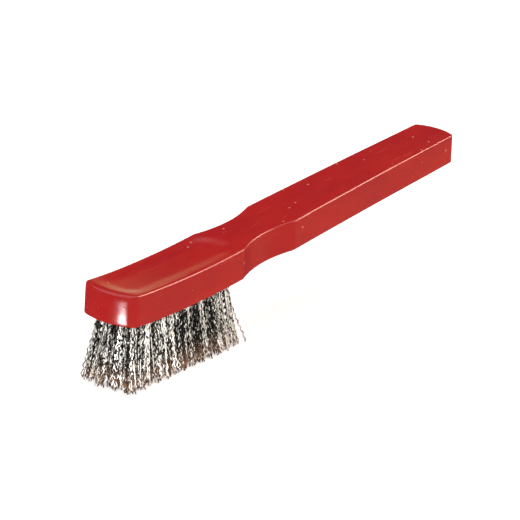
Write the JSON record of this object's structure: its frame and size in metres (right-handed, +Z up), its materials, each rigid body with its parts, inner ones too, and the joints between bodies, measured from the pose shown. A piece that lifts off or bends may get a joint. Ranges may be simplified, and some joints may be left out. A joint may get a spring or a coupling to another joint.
{
  "type": "hand wire brush",
  "caption": "Hand wire brush: one-piece red plastic block with scalloped neck and tapering handle, set with rows of crimped steel wire tufts.",
  "frame": {"origin": "centre of the bounding box at the plane of the wire tips", "axes": "+X from the nose along the brush to the end of the handle, +Y across the brush, +Z up, away from the wire tips"},
  "size_m": [0.25, 0.0288, 0.0554],
  "materials": {
    "red_plastic": "moulded polypropylene, glossy, crimson red",
    "crimped_wire": "crimped carbon steel wire, bright, browned towards the tips",
    "anchor_steel": "flat drawn steel staple strip, plain"
  },
  "bodies": {
    "root": {"handle_block": "red_plastic", "anchors_row_1": "anchor_steel", "anchors_row_2": "anchor_steel", "anchors_row_3": "anchor_steel", "anchors_row_4": "anchor_steel", "tuft_r1_c01": "crimped_wire", "tuft_r1_c02": "crimped_wire", "tuft_r1_c03": "crimped_wire", "tuft_r1_c04": "crimped_wire", "tuft_r1_c05": "crimped_wire", "tuft_r1_c06": "crimped_wire", "tuft_r1_c07": "crimped_wire", "tuft_r1_c08": "crimped_wire", "tuft_r1_c09": "crimped_wire", "tuft_r1_c10": "crimped_wire", "tuft_r1_c11": "crimped_wire", "tuft_r1_c12": "crimped_wire", "tuft_r1_c13": "crimped_wire", "tuft_r2_c01": "crimped_wire", "tuft_r2_c02": "crimped_wire", "tuft_r2_c03": "crimped_wire", "tuft_r2_c04": "crimped_wire", "tuft_r2_c05": "crimped_wire", "tuft_r2_c06": "crimped_wire", "tuft_r2_c07": "crimped_wire", "tuft_r2_c08": "crimped_wire", "tuft_r2_c09": "crimped_wire", "tuft_r2_c10": "crimped_wire", "tuft_r2_c11": "crimped_wire", "tuft_r2_c12": "crimped_wire", "tuft_r2_c13": "crimped_wire", "tuft_r3_c01": "crimped_wire", "tuft_r3_c02": "crimped_wire", "tuft_r3_c03": "crimped_wire", "tuft_r3_c04": "crimped_wire", "tuft_r3_c05": "crimped_wire", "tuft_r3_c06": "crimped_wire", "tuft_r3_c07": "crimped_wire", "tuft_r3_c08": "crimped_wire", "tuft_r3_c09": "crimped_wire", "tuft_r3_c10": "crimped_wire", "tuft_r3_c11": "crimped_wire", "tuft_r3_c12": "crimped_wire", "tuft_r3_c13": "crimped_wire", "tuft_r4_c01": "crimped_wire", "tuft_r4_c02": "crimped_wire", "tuft_r4_c03": "crimped_wire", "tuft_r4_c04": "crimped_wire", "tuft_r4_c05": "crimped_wire", "tuft_r4_c06": "crimped_wire", "tuft_r4_c07": "crimped_wire", "tuft_r4_c08": "crimped_wire", "tuft_r4_c09": "crimped_wire", "tuft_r4_c10": "crimped_wire", "tuft_r4_c11": "crimped_wire", "tuft_r4_c12": "crimped_wire", "tuft_r4_c13": "crimped_wire"}
  },
  "joints": []
}
